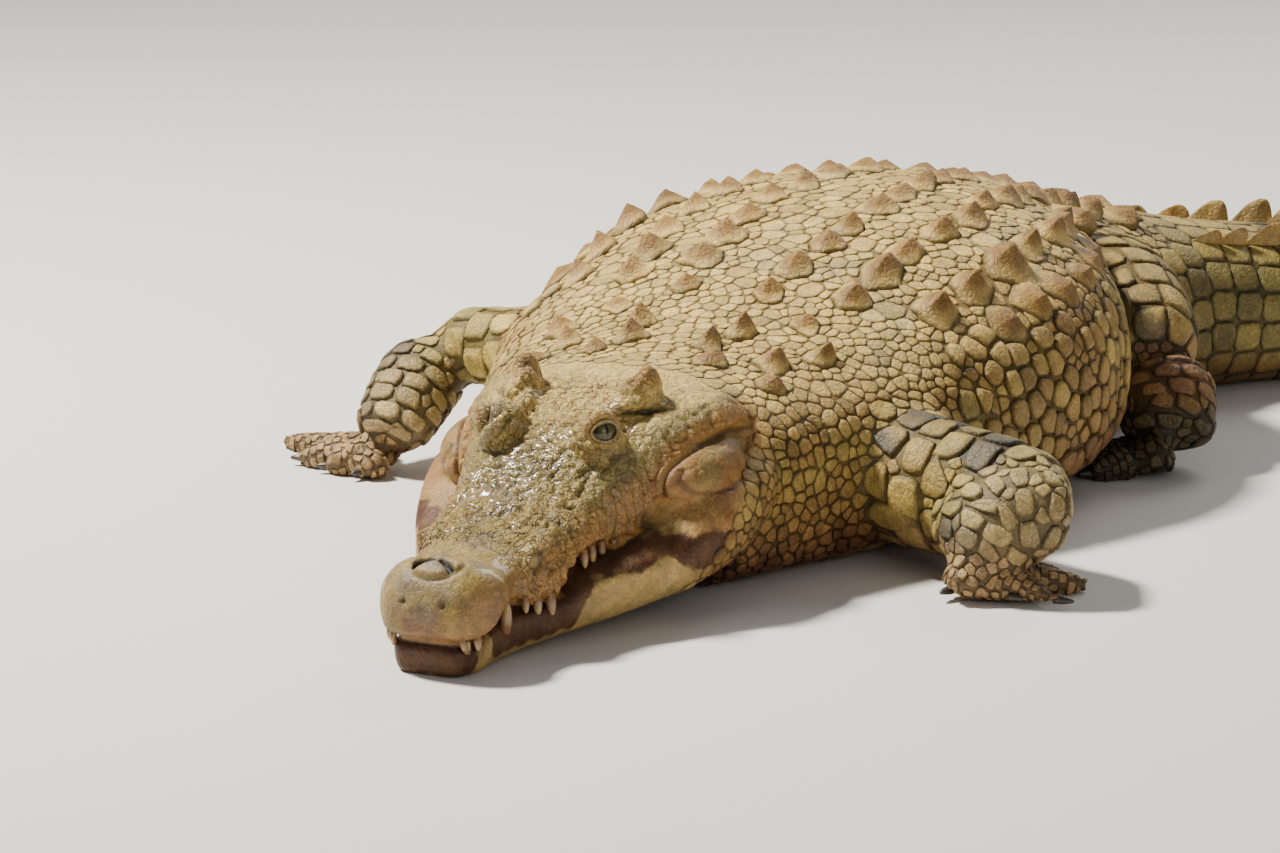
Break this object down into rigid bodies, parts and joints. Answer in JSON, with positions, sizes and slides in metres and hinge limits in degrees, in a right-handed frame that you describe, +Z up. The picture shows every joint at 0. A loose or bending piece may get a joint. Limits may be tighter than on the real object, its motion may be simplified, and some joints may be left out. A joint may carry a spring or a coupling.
{
  "type": "nile crocodile",
  "caption": "Life-size still model of a heavy adult Nile crocodile resting on its belly, head flat on the ground, forelegs spread and tail swung to its left",
  "frame": {"origin": "On the ground under the middle of the trunk, on the flat of the belly it rests on", "axes": "-Y is where the head points, +X is the animal's own left side, +Z is up"},
  "size_m": [2.6733, 3.3296, 0.438],
  "materials": {
    "head_skin": "wet rough hide over bone",
    "jaw_skin": "smooth hide with dried mud",
    "eye": "wet gloss",
    "body_scales": "dry dusty scales",
    "tail_scales": "satin scales with dark blotches",
    "leg_scales": "satin scales"
  },
  "bodies": {
    "root": {"head": "head_skin", "lower_jaw": "jaw_skin", "eye_left": "eye", "eye_right": "eye", "neck": "body_scales", "trunk": "body_scales", "tail_base": "tail_scales", "tail_middle": "tail_scales", "tail_end": "tail_scales", "upper_arm_left": "leg_scales", "forearm_left": "leg_scales", "hand_left": "leg_scales", "upper_arm_right": "leg_scales", "forearm_right": "leg_scales", "hand_right": "leg_scales", "thigh_left": "leg_scales", "shank_left": "leg_scales", "foot_left": "leg_scales", "thigh_right": "leg_scales", "shank_right": "leg_scales", "foot_right": "leg_scales"}
  },
  "joints": []
}
